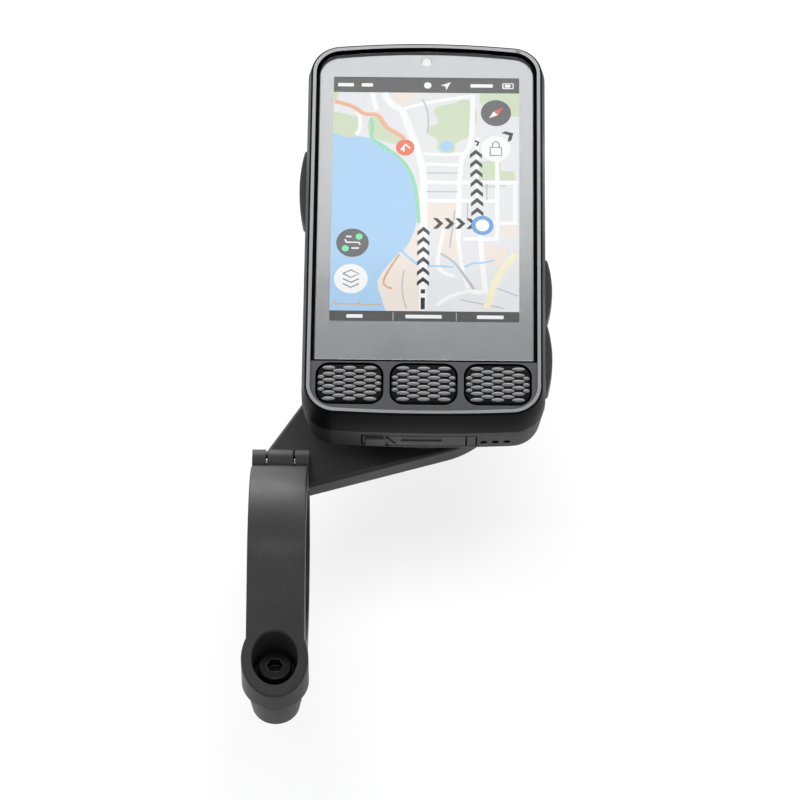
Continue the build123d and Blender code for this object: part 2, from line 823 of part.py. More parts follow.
with BuildPart() as display_ribbon:
    with BuildSketch(Plane(origin=(case_x, 0, 0), x_dir=(0, 1, 0), z_dir=(1, 0, 0))):
        with BuildLine() as ribbon_line:
            FilletPolyline(
                (case_y + panel_bottom + 1.5, tray_floor - 0.15),
                (case_y + panel_bottom - 2.2, tray_floor - 0.15),
                (case_y + panel_bottom - 2.2, board_top + 0.15),
                (case_y + panel_bottom + 3.0, board_top + 0.15),
                radius=1.2,
            )
        trace(ribbon_line.line, line_width=0.24)
    extrude(amount=5.0, both=True)
save(display_ribbon, "display_ribbon")
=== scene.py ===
from math import cos, pi, radians, sin

import bpy
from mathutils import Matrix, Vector


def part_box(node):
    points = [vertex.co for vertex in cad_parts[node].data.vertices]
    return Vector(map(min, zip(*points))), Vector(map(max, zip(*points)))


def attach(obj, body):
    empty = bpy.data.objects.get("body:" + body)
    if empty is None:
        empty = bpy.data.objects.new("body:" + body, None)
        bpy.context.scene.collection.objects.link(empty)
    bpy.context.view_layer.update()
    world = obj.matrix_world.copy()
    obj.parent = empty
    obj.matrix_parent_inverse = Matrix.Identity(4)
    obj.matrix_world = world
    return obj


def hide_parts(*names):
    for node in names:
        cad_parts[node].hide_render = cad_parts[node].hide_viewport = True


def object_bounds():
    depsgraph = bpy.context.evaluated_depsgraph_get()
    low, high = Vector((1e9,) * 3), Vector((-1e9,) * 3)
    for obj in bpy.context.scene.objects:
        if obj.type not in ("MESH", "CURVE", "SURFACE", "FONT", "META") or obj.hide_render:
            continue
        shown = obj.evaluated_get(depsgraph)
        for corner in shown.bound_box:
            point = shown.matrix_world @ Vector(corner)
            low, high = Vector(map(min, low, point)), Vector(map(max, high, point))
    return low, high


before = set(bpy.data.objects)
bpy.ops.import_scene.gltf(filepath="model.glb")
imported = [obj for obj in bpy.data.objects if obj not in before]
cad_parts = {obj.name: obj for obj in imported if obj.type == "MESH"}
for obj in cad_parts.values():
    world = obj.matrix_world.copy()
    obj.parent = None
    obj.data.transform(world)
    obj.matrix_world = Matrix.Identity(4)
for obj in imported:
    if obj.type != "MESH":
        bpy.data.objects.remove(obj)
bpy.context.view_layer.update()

MM = 0.001

# ---------------------------------------------------------------- places, read from the frame
glass_low, glass_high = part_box("cover_glass")
bezel_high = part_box("front_bezel")[1]
panel_low, panel_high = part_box("display_panel")
case_x = (glass_low.x + glass_high.x) / 2
button_low, button_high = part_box("middle_button")
button_margin = 2.5
case_y = button_low.y - button_margin * MM
deck_z = glass_high.z
key_top = button_high.z

screen_width = 39.9
screen_height = 59.9
screen_left = case_x - screen_width / 2 * MM
panel_above_screen = 1.05
screen_foot = (panel_low.y + panel_high.y) / 2 - (screen_height / 2 - panel_above_screen) * MM
layer = 0.014 * MM


# ---------------------------------------------------------------- workbench
def only(piece):
    """Select this piece alone and make it the active one."""
    if bpy.context.mode != "OBJECT":
        bpy.ops.object.mode_set(mode="OBJECT")
    bpy.ops.object.select_all(action="DESELECT")
    piece.select_set(True)
    bpy.context.view_layer.objects.active = piece


def pick_faces(piece, wanted):
    """Open the piece in edit mode with only those faces selected that wanted(centre, normal) accepts."""
    only(piece)
    mesh = piece.data
    mesh.vertices.foreach_set("select", [False] * len(mesh.vertices))
    mesh.edges.foreach_set("select", [False] * len(mesh.edges))
    for face in mesh.polygons:
        face.select = wanted(face.center, face.normal)
    bpy.context.tool_settings.mesh_select_mode = (False, False, True)
    bpy.ops.object.mode_set(mode="EDIT")


def put_down():
    """Leave edit mode."""
    bpy.ops.object.mode_set(mode="OBJECT")


def settle(piece, name=None):
    """Leave the piece at the origin, unturned and unscaled, with its place in its mesh."""
    only(piece)
    bpy.ops.object.transform_apply(location=True, rotation=True, scale=True)
    if name:
        piece.name = name
        piece.data.name = name
    return piece


def weld(piece, flat=0.4):
    """Join loose corners and take out the edges that lie in flat faces."""
    only(piece)
    bpy.ops.object.mode_set(mode="EDIT")
    bpy.ops.mesh.select_all(action="SELECT")
    bpy.ops.mesh.remove_doubles(threshold=2e-6)
    bpy.ops.mesh.dissolve_limited(angle_limit=radians(flat))
    put_down()


def soften(piece, width, steps=2, angle=32, smooth=38, clamp=True):
    """Break the sharp edges with a small radius and smooth the rest."""
    only(piece)
    edges = piece.modifiers.new("edges", "BEVEL")
    edges.width = width * MM
    edges.segments = steps
    edges.limit_method = "ANGLE"
    edges.angle_limit = radians(angle)
    edges.use_clamp_overlap = clamp
    edges.miter_outer = "MITER_ARC"
    bpy.ops.object.modifier_apply(modifier="edges")
    bpy.ops.object.shade_smooth_by_angle(angle=radians(smooth))
    shading = piece.modifiers.new("shading", "WEIGHTED_NORMAL")
    shading.keep_sharp = True
    shading.weight = 100
    bpy.ops.object.modifier_apply(modifier="shading")


def bench_copy(node, name):
    """A welded copy of a CAD node, to be worked on as the piece that stands for it."""
    piece = bpy.data.objects.new(name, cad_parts[node].data.copy())
    bpy.context.scene.collection.objects.link(piece)
    only(piece)
    bpy.ops.mesh.customdata_custom_splitnormals_clear()
    weld(piece)
    return piece


def join(pieces, name):
    """One piece from several."""
    only(pieces[0])
    for piece in pieces[1:]:
        piece.select_set(True)
    bpy.ops.object.join()
    pieces[0].name = name
    pieces[0].data.name = name
    return pieces[0]


def dress(piece, *finishes):
    """Give the piece its finishes, the first one all over."""
    piece.data.materials.clear()
    for finish in finishes:
        piece.data.materials.append(finish)
    for face in piece.data.polygons:
        face.material_index = 0


def dress_faces(piece, index, wanted):
    """Give another of its finishes to the faces that wanted(centre, normal) accepts."""
    for face in piece.data.polygons:
        if wanted(face.center, face.normal):
            face.material_index = index


def fit(piece, body, slot, *nodes):
    """Mount the finished piece on its body, in place of the CAD nodes that it stands for."""
    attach(piece, body)
    if nodes:
        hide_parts(*nodes)


# ---------------------------------------------------------------- finishes
def paint(red, green, blue):
    """Linear colour of one given as 0 to 255."""
    parts = [part / 255 for part in (red, green, blue)]
    linear = [part / 12.92 if part < 0.04045 else ((part + 0.055) / 1.055) ** 2.4 for part in parts]
    return (*linear, 1.0)


def put(tree, kind, values=None, **settings):
    """Add a node, set its properties, and give its inputs their values or links."""
    made = tree.nodes.new(kind)
    for key, value in settings.items():
        setattr(made, key, value)
    for key, value in (values or {}).items():
        if isinstance(value, bpy.types.NodeSocket):
            tree.links.new(value, made.inputs[key])
        else:
            made.inputs[key].default_value = value
    return made


def new_group(name, inputs, outputs):
    """A node group with named sockets: inputs are (name, kind, value), outputs are (name, kind)."""
    group = bpy.data.node_groups.new(name, "ShaderNodeTree")
    for label, kind, value in inputs:
        group.interface.new_socket(label, in_out="INPUT", socket_type=kind).default_value = value
    for label, kind in outputs:
        group.interface.new_socket(label, in_out="OUTPUT", socket_type=kind)
    return group, group.nodes.new("NodeGroupInput").outputs, group.nodes.new("NodeGroupOutput").inputs


def moulded_grain():
    """Spark-eroded mould texture: small soft cells with finer noise in them."""
    group, given, result = new_group(
        "moulded_grain",
        [("Scale", "NodeSocketFloat", 2500.0), ("Cells", "NodeSocketFloat", 0.5)],
        [("Height", "NodeSocketFloat"), ("Pits", "NodeSocketFloat")],
    )
    place = put(group, "ShaderNodeTexCoord").outputs["Object"]
    cells = put(group, "ShaderNodeTexVoronoi", {"Vector": place, "Scale": given["Scale"]},
                feature="SMOOTH_F1")
    noise = put(group, "ShaderNodeTexNoise", {"Vector": place, "Scale": given["Scale"], "Detail": 3.0})
    mixed = put(group, "ShaderNodeMix", {0: given["Cells"], 2: noise.outputs["Fac"],
                                         3: cells.outputs["Distance"]}, data_type="FLOAT")
    group.links.new(mixed.outputs[0], result["Height"])
    pits = put(group, "ShaderNodeMapRange", {"Value": mixed.outputs[0], "From Min": 0.25, "From Max": 0.6})
    group.links.new(pits.outputs["Result"], result["Pits"])
    return group


def edge_rub():
    """Mask of the outer edges, where handling has polished the surface."""
    group, given, result = new_group(
        "edge_rub",
        [("Radius", "NodeSocketFloat", 0.3 * MM), ("Break Up", "NodeSocketFloat", 900.0)],
        [("Mask", "NodeSocketFloat")],
    )
    surface = put(group, "ShaderNodeNewGeometry").outputs["Normal"]
    rounded = put(group, "ShaderNodeBevel", {"Radius": given["Radius"]}, samples=4).outputs["Normal"]
    same = put(group, "ShaderNodeVectorMath", {0: surface, 1: rounded}, operation="DOT_PRODUCT")
    edge = put(group, "ShaderNodeMapRange", {"Value": same.outputs["Value"], "From Min": 0.995,
                                             "From Max": 0.86})
    place = put(group, "ShaderNodeTexCoord").outputs["Object"]
    noise = put(group, "ShaderNodeTexNoise", {"Vector": place, "Scale": given["Break Up"], "Detail": 4.0})
    worn = put(group, "ShaderNodeMapRange", {"Value": noise.outputs["Fac"], "From Min": 0.35,
                                             "From Max": 0.62})
    mask = put(group, "ShaderNodeMath", {0: edge.outputs["Result"], 1: worn.outputs["Result"]},
               operation="MULTIPLY")
    group.links.new(mask.outputs["Value"], result["Mask"])
    return group


def handling():
    """Slow change of tone and gloss over a surface, and fine dust on what faces up."""
    group, given, result = new_group(
        "handling",
        [("Scale", "NodeSocketFloat", 60.0)],
        [("Tone", "NodeSocketFloat"), ("Dust", "NodeSocketFloat")],
    )
    place = put(group, "ShaderNodeTexCoord").outputs["Object"]
    slow = put(group, "ShaderNodeTexNoise", {"Vector": place, "Scale": given["Scale"], "Detail": 5.0,
                                             "Roughness": 0.6})
    group.links.new(slow.outputs["Fac"], result["Tone"])
    speck = put(group, "ShaderNodeTexNoise", {"Vector": place, "Scale": 2600.0, "Detail": 2.0})
    seen = put(group, "ShaderNodeMapRange", {"Value": speck.outputs["Fac"], "From Min": 0.68,
                                             "From Max": 0.78})
    surface = put(group, "ShaderNodeNewGeometry").outputs["Normal"]
    up = put(group, "ShaderNodeSeparateXYZ", {"Vector": surface})
    level = put(group, "ShaderNodeMath", {0: up.outputs["Z"], 1: 0.0}, operation="MAXIMUM")
    dust = put(group, "ShaderNodeMath", {0: seen.outputs["Result"], 1: level.outputs["Value"]},
               operation="MULTIPLY")
    group.links.new(dust.outputs["Value"], result["Dust"])
    return group


def screen_pixels():
    """A lit colour broken into fine rows and columns, a little dimmer towards the screen's edge."""
    group, given, result = new_group(
        "screen_pixels",
        [("Colour", "NodeSocketColor", (1, 1, 1, 1)), ("Pitch", "NodeSocketFloat", 0.166 * MM),
         ("Grid", "NodeSocketFloat", 0.05)],
        [("Colour", "NodeSocketColor")],
    )
    place = put(group, "ShaderNodeTexCoord").outputs["Object"]
    apart = put(group, "ShaderNodeSeparateXYZ", {"Vector": place})
    waves = []
    for axis in ("X", "Y"):
        count = put(group, "ShaderNodeMath", {0: apart.outputs[axis], 1: given["Pitch"]}, operation="DIVIDE")
        part = put(group, "ShaderNodeMath", {0: count.outputs["Value"], 1: 1.0}, operation="PINGPONG")
        waves.append(put(group, "ShaderNodeMapRange", {"Value": part.outputs["Value"], "From Min": 0.0,
                                                       "From Max": 0.35}).outputs["Result"])
    both = put(group, "ShaderNodeMath", {0: waves[0], 1: waves[1]}, operation="MULTIPLY").outputs["Value"]
    centre = put(group, "ShaderNodeVectorMath", {
        0: place, 1: (case_x, screen_foot + screen_height / 2 * MM, 0)}, operation="SUBTRACT")
    away = put(group, "ShaderNodeVectorMath", {0: centre.outputs["Vector"]}, operation="LENGTH")
    fall = put(group, "ShaderNodeMapRange", {"Value": away.outputs["Value"], "From Min": 20 * MM,
                                             "From Max": 38 * MM, "To Min": 1.0, "To Max": 0.95})
    dark = put(group, "ShaderNodeMath", {0: 1.0, 1: given["Grid"]}, operation="SUBTRACT").outputs["Value"]
    grid = put(group, "ShaderNodeMapRange", {"Value": both, "To Min": dark, "To Max": 1.0})
    light = put(group, "ShaderNodeMath", {0: grid.outputs["Result"], 1: fall.outputs["Result"]},
                operation="MULTIPLY").outputs["Value"]
    lit = put(group, "ShaderNodeVectorMath", {0: given["Colour"], "Scale": light}, operation="SCALE")
    group.links.new(lit.outputs["Vector"], result["Colour"])
    return group


GRAIN = moulded_grain()
RUB = edge_rub()
HANDLING = handling()
PIXELS = screen_pixels()


def use(tree, group, values):
    """Place a node group in a material."""
    made = put(tree, "ShaderNodeGroup", node_tree=group)
    for key, value in values.items():
        made.inputs[key].default_value = value
    return made.outputs


def solid(name, colour, rough, grain=2500.0, depth=0.01, cells=0.5, rub=0.25, dust=0.15, metal=0.0,
          coat=0.0, spread=0.08, gleam=0.5, light=None):
    """An opaque finish: its colour, gloss, moulded or machined grain, polished edges and a little dust.

    depth is the grain's height in millimetres, and light is the colour that rubbed edges show.
    """
    material = bpy.data.materials.new(name)
    material.use_nodes = True
    tree = material.node_tree
    shader = tree.nodes["Principled BSDF"]
    texture = use(tree, GRAIN, {"Scale": grain, "Cells": cells})
    worn = use(tree, RUB, {})
    hands = use(tree, HANDLING, {})
    base = paint(*colour)
    dark = (*(part * 0.72 for part in base[:3]), 1.0)
    pale = paint(*(light or [min(255, part * 1.7 + 14) for part in colour]))
    tone = put(tree, "ShaderNodeMix", {0: hands["Tone"], 6: dark, 7: base}, data_type="RGBA")
    pitted = put(tree, "ShaderNodeMix", {0: texture["Pits"], 6: tone.outputs[2], 7: base}, data_type="RGBA")
    share = put(tree, "ShaderNodeMath", {0: worn["Mask"], 1: rub}, operation="MULTIPLY")
    edged = put(tree, "ShaderNodeMix", {0: share.outputs["Value"], 6: pitted.outputs[2], 7: pale},
                data_type="RGBA")
    specks = put(tree, "ShaderNodeMath", {0: hands["Dust"], 1: dust}, operation="MULTIPLY")
    dusty = put(tree, "ShaderNodeMix", {0: specks.outputs["Value"], 6: edged.outputs[2],
                                        7: paint(170, 168, 164)}, data_type="RGBA")
    tree.links.new(dusty.outputs[2], shader.inputs["Base Color"])
    gloss = put(tree, "ShaderNodeMapRange", {"Value": hands["Tone"], "From Min": 0.3, "From Max": 0.7,
                                             "To Min": rough - spread, "To Max": rough + spread})
    smoother = put(tree, "ShaderNodeMath", {0: share.outputs["Value"], 1: 0.3}, operation="MULTIPLY")
    ruffled = put(tree, "ShaderNodeMath", {0: gloss.outputs["Result"], 1: smoother.outputs["Value"]},
                  operation="SUBTRACT", use_clamp=True)
    tree.links.new(ruffled.outputs["Value"], shader.inputs["Roughness"])
    bump = put(tree, "ShaderNodeBump", {"Height": texture["Height"], "Strength": 1.0,
                                        "Distance": depth * MM})
    tree.links.new(bump.outputs["Normal"], shader.inputs["Normal"])
    shader.inputs["Metallic"].default_value = metal
    shader.inputs["Specular IOR Level"].default_value = gleam
    shader.inputs["Coat Weight"].default_value = coat
    shader.inputs["Coat Roughness"].default_value = 0.12
    return material


def lit(name, red, green, blue):
    """A lit part of the display; the light sensor wears it too, as a painted glow."""
    material = bpy.data.materials.new(name)
    material.use_nodes = True
    tree = material.node_tree
    shader = tree.nodes["Principled BSDF"]
    colour = use(tree, PIXELS, {"Colour": paint(red, green, blue)})["Colour"]
    shader.inputs["Base Color"].default_value = (0.01, 0.01, 0.01, 1.0)
    shader.inputs["Roughness"].default_value = 0.5
    shader.inputs["Specular IOR Level"].default_value = 0.1
    tree.links.new(colour, shader.inputs["Emission Color"])
    shader.inputs["Emission Strength"].default_value = 1.0
    return material


def clear_glass():
    """Hardened cover glass with faint smears."""
    material = bpy.data.materials.new("hard_glass")
    material.use_nodes = True
    tree = material.node_tree
    shader = tree.nodes["Principled BSDF"]
    hands = use(tree, HANDLING, {"Scale": 45.0})
    gloss = put(tree, "ShaderNodeMapRange", {"Value": hands["Tone"], "From Min": 0.35, "From Max": 0.7,
                                             "To Min": 0.03, "To Max": 0.09})
    tree.links.new(gloss.outputs["Result"], shader.inputs["Roughness"])
    tint = put(tree, "ShaderNodeMix", {0: hands["Tone"], 6: (0.97, 0.985, 0.98, 1.0),
                                       7: (1.0, 1.0, 1.0, 1.0)}, data_type="RGBA")
    tree.links.new(tint.outputs[2], shader.inputs["Base Color"])
    shader.inputs["Transmission Weight"].default_value = 1.0
    shader.inputs["IOR"].default_value = 1.45
    return material


case_black = solid("case_black", (7, 7, 8), 0.40, grain=5200, depth=0.003, rub=0.1, dust=0.08, gleam=0.06)
# Painted highlight: light metallic grey on the flat top of the black rim, standing in for the rim's bright
# highlight line.
rim_painted_highlight = solid("rim_painted_highlight", (178, 179, 181), 0.26, grain=5200, depth=0.001, rub=0.0, dust=0.0,
                   metal=0.85, spread=0.02)
deck_grain = solid("deck_grain", (66, 66, 68), 0.46, grain=3600, depth=0.02, cells=0.7, rub=0.1)
shell_black = solid("shell_black", (26, 26, 27), 0.52, grain=3000, depth=0.012, cells=0.6, rub=0.3,
                    gleam=0.25)
# Painted shade and sheen: one dark rubber as two copies, near-black on the pad as painted shade between the
# bumps, light grey on the bumps as painted sheen.
pad_rubber_and_painted_shade = solid("pad_rubber_and_painted_shade", (10, 10, 10), 0.75, grain=6000, depth=0.004, rub=0.0, dust=0.0, gleam=0.1)
bump_rubber_painted_sheen = solid("bump_rubber_painted_sheen", (122, 122, 124), 0.38, grain=6000, depth=0.004, rub=0.2)
key_black = solid("key_black", (40, 40, 41), 0.42, grain=4200, depth=0.006, rub=0.45)
flap_rubber = solid("flap_rubber", (40, 40, 41), 0.55, grain=4500, depth=0.008, rub=0.2, gleam=0.35)
seal_rubber = solid("seal_rubber", (14, 14, 15), 0.70, grain=5000, depth=0.004, rub=0.0)
mount_black = solid("mount_black", (40, 40, 41), 0.50, grain=2600, depth=0.014, cells=0.65, rub=0.4,
                    gleam=0.4)
socket_black = solid("socket_black", (30, 30, 32), 0.46, grain=3000, depth=0.008, rub=0.4)
bolt_black = solid("bolt_black", (34, 34, 36), 0.36, grain=5000, depth=0.003, rub=0.8, metal=0.8,
                   light=(120, 118, 115))
bright_steel = solid("bright_steel", (168, 168, 170), 0.28, grain=4000, depth=0.002, metal=1.0)
brass = solid("brass", (190, 150, 82), 0.34, grain=3200, depth=0.004, metal=1.0)
board_green = solid("board_green", (22, 70, 46), 0.42, grain=1500, depth=0.006, coat=0.3)
ribbon_amber = solid("ribbon_amber", (176, 110, 34), 0.38, grain=2500, depth=0.002)
ceramic = solid("ceramic", (206, 190, 160), 0.45, grain=3500, depth=0.006)
foil = solid("foil", (176, 178, 180), 0.36, grain=700, depth=0.02, metal=0.8)
vent_cloth = solid("vent_cloth", (214, 214, 212), 0.8, grain=6500, depth=0.01)
# Painted reflection: the dark border print is given a light silvery mirror colour, so the lamp above shows in
# it as a bright reflection.
border_print_painted_reflection = solid("border_print_painted_reflection", (196, 196, 198), 0.17, grain=7000, depth=0.0004, cells=0.3, rub=0.0,
                     dust=0.0, metal=1.0, spread=0.01)
panel_dark = solid("panel_dark", (20, 20, 22), 0.35, grain=5000, depth=0.001, rub=0.0, dust=0.0)
edge_ink = solid("edge_ink", (8, 8, 9), 0.5, grain=5000, depth=0.001, rub=0.0, dust=0.0, gleam=0.1)
hard_glass = clear_glass()
# Painted glow: the light sensor is no lamp, yet it glows with the display's white.
sensor_painted_glow = lit("sensor_painted_glow", 245, 245, 246)

# ---------------------------------------------------------------- case
rim_depth = 0.004
deck_depth = 0.02
deck_overlap = 0.3
glass_lift = 0.03


def front_housing():
    """Front housing with a painted highlight on the rim's flat top (light metallic grey on the black
    plastic), matt flanks and a grained deck round the buttons.
    """
    housing = bench_copy("front_bezel", "front_housing")
    soften(housing, 0.16)
    dress(housing, case_black, rim_painted_highlight, deck_grain)
    # the rim's flat top gets the painted highlight
    dress_faces(housing, 1, lambda centre, normal: centre.z > bezel_high.z - rim_depth * MM
                and normal.z > 0.9995)
    dress_faces(housing, 2, lambda centre, normal: abs(centre.z - deck_z) < deck_depth * MM
                and normal.z > 0.5 and centre.y < glass_low.y + deck_overlap * MM)
    fit(housing, "computer", "case_plastic", "front_bezel")


def back_housing():
    """Rear shell with its grained skin."""
    shell = bench_copy("rear_shell", "back_housing")
    soften(shell, 0.16)
    dress(shell, shell_black)
    fit(shell, "computer", "shell_plastic", "rear_shell")


def cover_glass():
    """Clear glass with a softened upper edge, lifted a hair off the border film."""
    glass = bench_copy("cover_glass", "clear_cover")
    pick_faces(glass, lambda centre, normal: normal.z < -0.9)
    bpy.ops.transform.translate(value=(0, 0, glass_lift * MM))
    put_down()
    soften(glass, 0.09, angle=25)
    dress(glass, hard_glass, edge_ink)
    dress_faces(glass, 1, lambda centre, normal: abs(normal.z) < 0.9)
    fit(glass, "computer", "front_glass", "cover_glass")


front_housing()
back_housing()
cover_glass()

# ---------------------------------------------------------------- front buttons
bump_columns = 2.15
bump_rows = 1.45
bump_half_width = 1.42
bump_half_depth = 0.46
bump_rise = 0.32
side_column_draw = 0.92
pad_drop = 0.18
bump_sink = 0.06
pad_middle = 7.45
pad_face_depth = 0.55
side_reach = 2.6
middle_reach = 3.9


def lens_bump():
    """One raised lens-shaped bump: a flattened half ball."""
    bpy.ops.object.select_all(action="DESELECT")
    bpy.ops.mesh.primitive_uv_sphere_add(segments=12, ring_count=6, radius=1)
    bump = bpy.context.object
    bump.scale = (bump_half_width * MM, bump_half_depth * MM, bump_rise * MM)
    settle(bump, "lens_bump")
    bpy.ops.object.mode_set(mode="EDIT")
    bpy.ops.mesh.select_all(action="SELECT")
    bpy.ops.mesh.bisect(plane_co=(0, 0, -0.05 * MM), plane_no=(0, 0, 1), use_fill=True, clear_inner=True)
    put_down()
    bpy.ops.object.shade_smooth_by_angle(angle=radians(60))
    return bump


def bumpy_pad(node, body, name, bump):
    """A front button whose face carries staggered rows of lens-shaped bumps, light grey as painted sheen, on
    a near-black pad whose dark rubber is darkened further as painted shade.
    """
    low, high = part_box(node)
    middle = Vector(((low.x + high.x) / 2, case_y + pad_middle * MM, key_top))
    pad = bench_copy(node, name)
    pick_faces(pad, lambda centre, normal: centre.z > key_top - pad_face_depth * MM)
    bpy.ops.transform.translate(value=(0, 0, -pad_drop * MM))
    put_down()
    bpy.ops.object.shade_smooth_by_angle(angle=radians(40))
    # painted shade on the pad, painted sheen on the bumps
    dress(pad, pad_rubber_and_painted_shade, bump_rubber_painted_sheen)
    dress(bump, pad_rubber_and_painted_shade, bump_rubber_painted_sheen)
    dress_faces(bump, 1, lambda centre, normal: True)
    rows = []
    for column in range(-3, 4):
        at_side = abs(column) == 3
        across = column * bump_columns * (side_column_draw if at_side else 1)
        offset = bump_rows / 2 if column % 2 == 0 else 0
        for row in range(-3, 3 if offset else 4):
            along = row * bump_rows + offset
            if abs(along) > (side_reach if at_side else middle_reach):
                continue
            made = bpy.data.objects.new("bump", bump.data.copy())
            bpy.context.scene.collection.objects.link(made)
            made.location = middle + Vector((across, along, -pad_drop - bump_sink)) * MM
            made.scale.x = 0.5 if at_side else 1
            rows.append(settle(made))
    pad = join([pad, *rows], name)
    fit(pad, body, "button_rubber", node)


bump = lens_bump()
for side in ("left", "middle", "right"):
    bumpy_pad(f"{side}_button", f"{side}_button", f"{side}_pad", bump)
bpy.data.objects.remove(bump)


# ---------------------------------------------------------------- side buttons
def side_key(node, name):
    """Bowed key in the case's flank."""
    key = bench_copy(node, name)
    soften(key, 0.18)
    dress(key, key_black)
    fit(key, node, "side_button_plastic", node)


side_key("power_button", "power_key")
side_key("up_button", "up_key")
side_key("down_button", "down_key")

# ---------------------------------------------------------------- port flap
door_low, door_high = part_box("port_door")
wall_lean = radians(6.8)


def block(name, centre, size, radius, lean=0.0, turn=0.0):
    """A small rounded block, leaning back with the wall and turned in its plane."""
    bpy.ops.object.select_all(action="DESELECT")
    bpy.ops.mesh.primitive_cube_add(size=1, location=centre, rotation=(lean, turn, 0))
    piece = bpy.context.object
    piece.scale = size
    settle(piece, name)
    soften(piece, radius, steps=3, angle=30, smooth=50)
    return piece


def port_flap():
    """Rubber door with a finger tab, a slanted groove beside it and an oval pull ridge."""
    flap = bench_copy("port_door", "port_flap")
    soften(flap, 0.12)
    middle_z = (door_low.z + door_high.z) / 2
    skin = door_low.y + 0.30 * MM
    tab = block("tab", (door_low.x + 2.5 * MM, skin, middle_z), (4.0 * MM, 0.7 * MM, 3.9 * MM), 0.3,
                lean=wall_lean)
    rib = block("rib", (door_low.x + 5.9 * MM, skin, middle_z), (0.5 * MM, 0.55 * MM, 4.4 * MM), 0.12,
                lean=wall_lean, turn=radians(-24))
    ridge = block("ridge", (door_low.x + 12.4 * MM, skin, middle_z), (8.6 * MM, 0.5 * MM, 1.5 * MM), 0.24,
                  lean=wall_lean)
    flap = join([flap, tab, rib, ridge], "port_flap")
    dress(flap, flap_rubber)
    fit(flap, "port_door", "door_rubber", "port_door")


port_flap()


# ---------------------------------------------------------------- clamp and arm
def clamp_band():
    """Hinged half of the clamp, with eased edges."""
    band = bench_copy("clamp_strap", "clamp_band")
    soften(band, 0.35, steps=3, clamp=False)
    dress(band, mount_black)
    fit(band, "mount", "mount_plastic", "clamp_strap")


def reach_arm():
    """Out-front arm with the fixed half of the clamp."""
    arm = bench_copy("mount_arm", "reach_arm")
    soften(arm, 0.25)
    dress(arm, mount_black)
    fit(arm, "mount", "mount_plastic", "mount_arm")


def pinch_bolt():
    """Socket-head bolt."""
    bolt = bench_copy("clamp_bolt", "pinch_bolt")
    soften(bolt, 0.12)
    dress(bolt, bolt_black)
    fit(bolt, "mount", "blackened_steel", "clamp_bolt")


def lock_ring():
    """Quarter-turn socket on the arm."""
    ring = bench_copy("lock_socket", "lock_ring")
    soften(ring, 0.15)
    dress(ring, socket_black)
    fit(ring, "mount", "socket_plastic", "lock_socket")


def lock_tabs():
    """Quarter-turn plate under the case."""
    plate = bench_copy("lock_plate", "lock_tabs")
    soften(plate, 0.2)
    dress(plate, socket_black)
    fit(plate, "computer", "shell_plastic", "lock_plate")


def socket_heads(node, name, body, inset, depth):
    """A set of screws, driven from below, with sunk drive sockets in their heads."""
    head_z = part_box(node)[0].z
    screws = bench_copy(node, name)
    pick_faces(screws, lambda centre, normal: abs(centre.z - head_z) < 0.02 * MM and normal.z < -0.9)
    bpy.ops.mesh.inset(thickness=inset * MM)
    bpy.ops.mesh.extrude_region_move(TRANSFORM_OT_translate={"value": (0, 0, depth * MM)})
    put_down()
    soften(screws, 0.08)
    dress(screws, bolt_black)
    fit(screws, body, "blackened_steel", node)


clamp_band()
reach_arm()
pinch_bolt()
lock_ring()
lock_tabs()
socket_heads("socket_screws", "ring_screws", "mount", 0.5, 0.9)
socket_heads("lock_plate_screws", "tab_screws", "computer", 0.42, 0.7)
socket_heads("case_screws", "back_screws", "computer", 0.7, 0.6)

# ---------------------------------------------------------------- CAD nodes that stay
STAYING = {
    "clamp_nut": brass, "hinge_pin": bright_steel,
    "detent_springs": bright_steel,
    # the border film's silvery mirror colour is painted reflection
    "border_film": border_print_painted_reflection, "glass_gasket": seal_rubber, "display_panel": panel_dark,
    # the light sensor's glow is painted light
    "display_tray": bright_steel, "display_ribbon": ribbon_amber, "light_sensor": sensor_painted_glow,
    "front_button_seals": seal_rubber, "front_switches": bright_steel, "button_board": board_green,
    "case_seal": seal_rubber, "side_switches": bright_steel, "main_board": board_green,
    "processor_can": bright_steel, "antenna_patch": ceramic, "battery": foil, "battery_pad": seal_rubber,
    "charging_socket": bright_steel, "door_anchor": flap_rubber, "sounder": bright_steel,
    "vent_membrane": vent_cloth,
}
for node, finish in STAYING.items():
    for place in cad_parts[node].material_slots:
        place.material = finish


# ---------------------------------------------------------------- display
map_foot = 2.6
map_top = 56.2
plate_half = 0.4
band_flatness = 0.006


def spot(across, up):
    """Place on the screen, in millimetres from its lower left corner."""
    return Vector((screen_left + across * MM, screen_foot + up * MM, 0))


def flat_shape(name, outline, rise, finish, rounded=False):
    """A thin plate cut to an outline; rounded ones bend smoothly except where they meet the screen's edge."""
    curve = bpy.data.curves.new(name, "CURVE")
    curve.dimensions = "2D"
    curve.fill_mode = "BOTH"
    curve.extrude = layer * plate_half
    curve.resolution_u = 8
    if rounded:
        line = curve.splines.new("BEZIER")
        line.bezier_points.add(len(outline) - 1)
        for point, (across, up) in zip(line.bezier_points, outline):
            point.co = spot(across, up)
            on_edge = across in (0, screen_width) or up in (map_foot, map_top)
            point.handle_left_type = "VECTOR" if on_edge else "AUTO"
            point.handle_right_type = "VECTOR" if on_edge else "AUTO"
    else:
        line = curve.splines.new("POLY")
        line.points.add(len(outline) - 1)
        for point, (across, up) in zip(line.points, outline):
            point.co = (*spot(across, up), 1)
    line.use_cyclic_u = True
    piece = bpy.data.objects.new(name, curve)
    bpy.context.scene.collection.objects.link(piece)
    only(piece)
    bpy.ops.object.convert(target="MESH")
    piece.location.z = panel_high.z + rise * layer
    settle(piece, name)
    dress(piece, finish)
    return piece


def box_outline(left, foot, right, top):
    """Corners of an upright box."""
    return [(left, foot), (right, foot), (right, top), (left, top)]


def circle_outline(across, up, radius, count=40):
    """Points round a circle."""
    return [(across + radius * cos(2 * pi * i / count), up + radius * sin(2 * pi * i / count))
            for i in range(count)]


